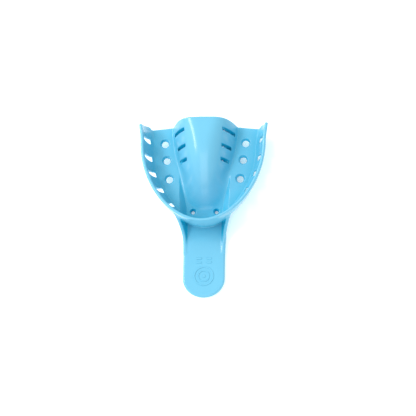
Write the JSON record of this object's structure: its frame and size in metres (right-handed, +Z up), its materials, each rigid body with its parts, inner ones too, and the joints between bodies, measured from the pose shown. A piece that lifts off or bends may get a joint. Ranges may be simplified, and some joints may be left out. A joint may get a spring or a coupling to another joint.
{
  "type": "impression tray",
  "caption": "Perforated plastic upper-arch impression tray with a palate vault, slotted flanges and a flat handle with rounded end.",
  "frame": {"origin": "middle of the tray's overall box, on the plane of the handle's underside", "axes": "+Z up with the tissue side upwards, +Y towards the rear of the arch and away from the handle, +X to the right seen from the handle"},
  "size_m": [0.0644, 0.0872, 0.0222],
  "materials": {
    "tray_plastic": "glossy moulded light-blue polystyrene, slightly translucent"
  },
  "bodies": {
    "root": {"palate_vault": "tray_plastic", "front_well": "tray_plastic", "floor_left": "tray_plastic", "floor_right": "tray_plastic", "flange_left": "tray_plastic", "flange_right": "tray_plastic", "flange_front": "tray_plastic", "handle_plate": "tray_plastic", "handle_rib_left": "tray_plastic", "handle_rib_right": "tray_plastic", "grip_marks": "tray_plastic"}
  },
  "joints": []
}
